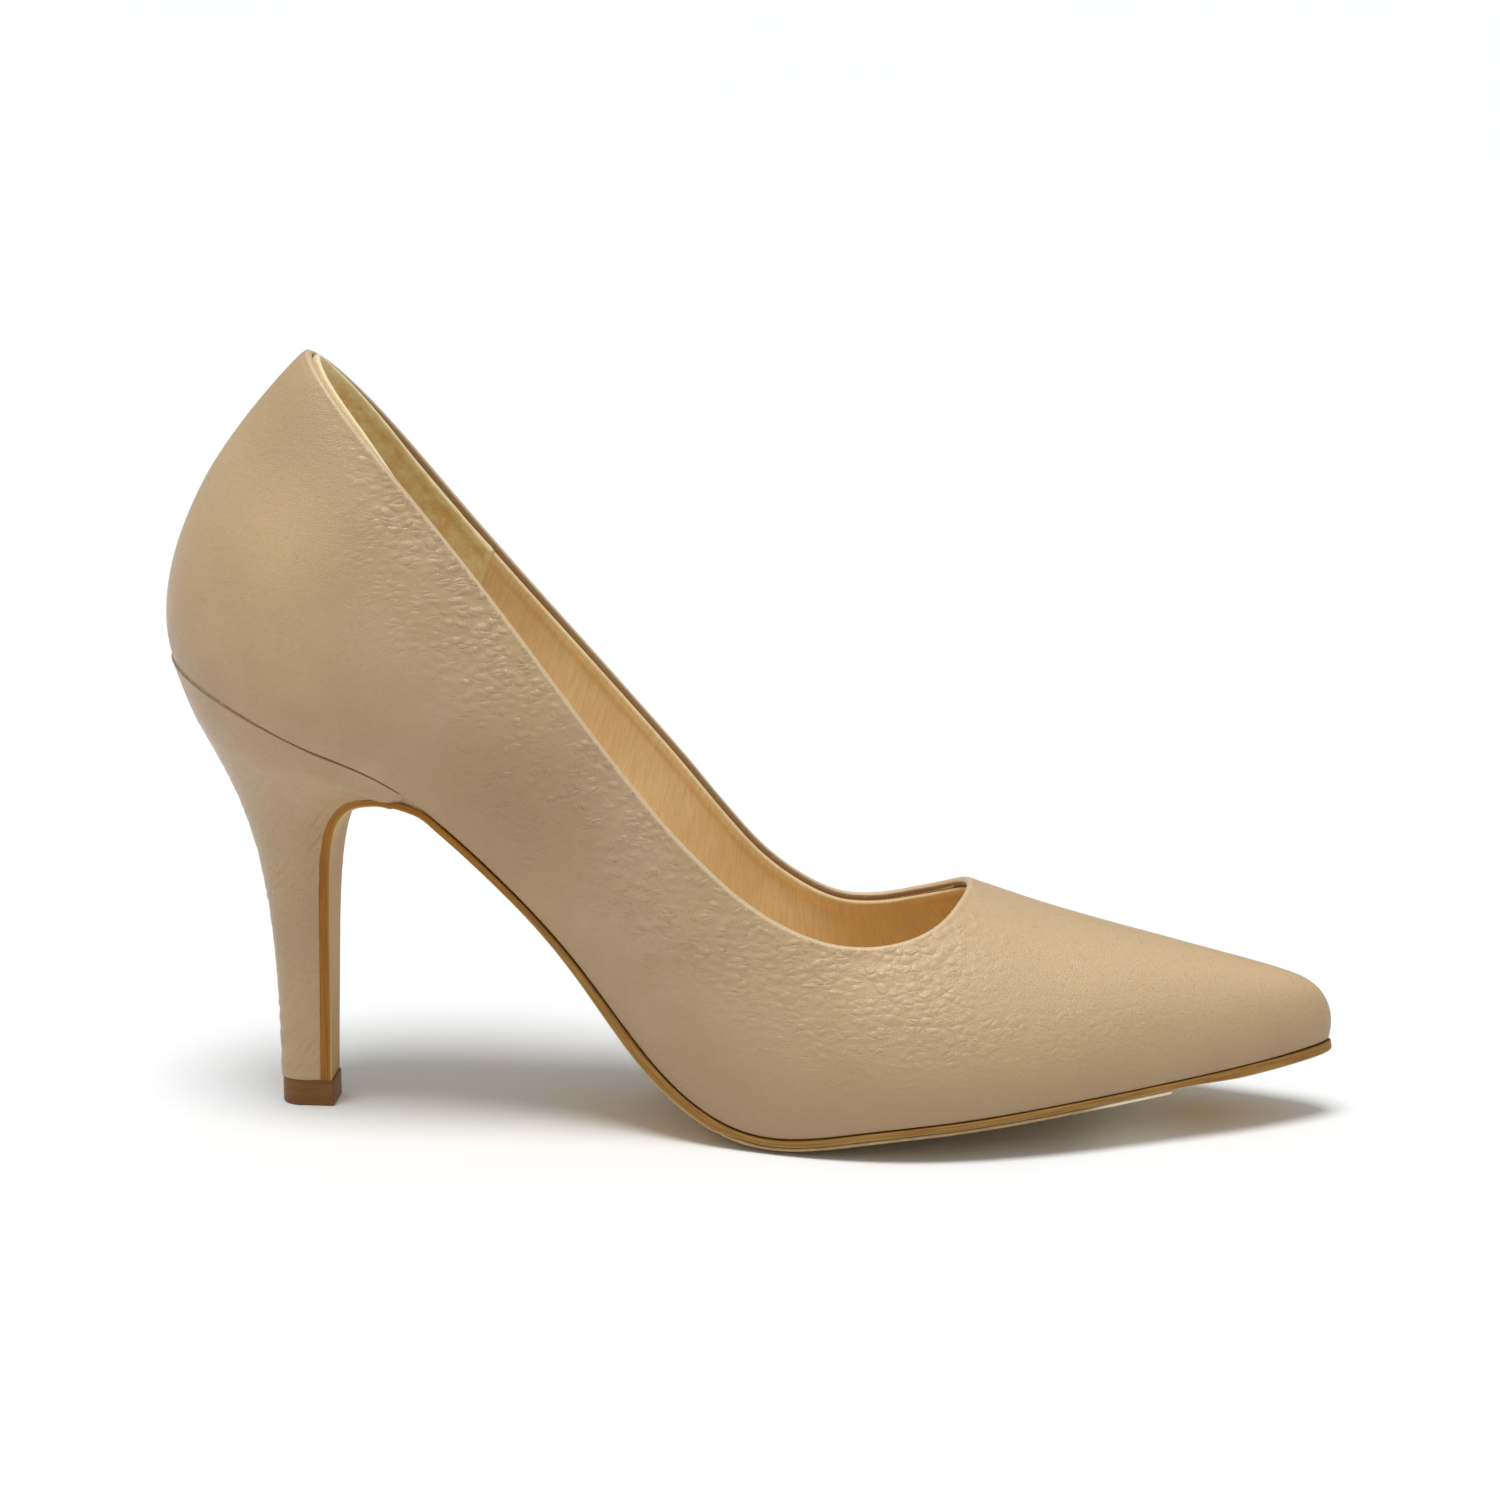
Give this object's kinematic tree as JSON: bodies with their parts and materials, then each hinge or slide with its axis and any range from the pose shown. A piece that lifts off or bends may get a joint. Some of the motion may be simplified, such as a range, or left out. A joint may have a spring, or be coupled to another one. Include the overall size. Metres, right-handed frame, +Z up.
{
  "type": "high heel pump",
  "caption": "Pointed court shoe for the right foot in soft beige leather, with a slim high covered heel, suede heel grip and leather sole.",
  "frame": {"origin": "centre of the heel top piece's ground face, on the ground", "axes": "+X towards the toe, +Y towards the inner (big toe) side, +Z up"},
  "size_m": [0.2346, 0.0679, 0.1549],
  "materials": {
    "upper_leather": "beige nappa with a soft sheen",
    "lining_leather": "tan pigskin lining, matt",
    "grip_suede": "mustard suede, matt",
    "stiffener": "thermoplastic sheet",
    "interlining_cloth": "woven cotton",
    "foam": "latex foam",
    "fibre_board": "cellulose fibre board",
    "steel": "bright steel",
    "cork": "cork sheet",
    "sole_leather": "sole leather with a waxed brown edge",
    "tread_rubber": "thin beige sole rubber",
    "heel_plastic": "moulded heel, hidden under leather",
    "toppiece_plastic": "brown moulded polyurethane"
  },
  "bodies": {
    "root": {"upper": "upper_leather", "lining": "lining_leather", "heel_grip": "grip_suede", "heel_counter": "stiffener", "quarter_interlining": "interlining_cloth", "vamp_interlining": "interlining_cloth", "toe_puff": "stiffener", "topline_tape": "interlining_cloth", "sock": "lining_leather", "heel_pad": "foam", "forefoot_pad": "foam", "insole_board": "fibre_board", "shank_board": "fibre_board", "steel_shank": "steel", "shank_rivets": "steel", "bottom_filler": "cork", "outsole": "sole_leather", "forefoot_tread": "tread_rubber", "heel_cover": "upper_leather", "heel_block": "heel_plastic", "heel_dowel": "steel", "heel_screw": "steel", "heel_nails": "steel", "seat_tacks": "steel", "top_piece": "toppiece_plastic", "top_piece_pin": "steel"}
  },
  "joints": []
}
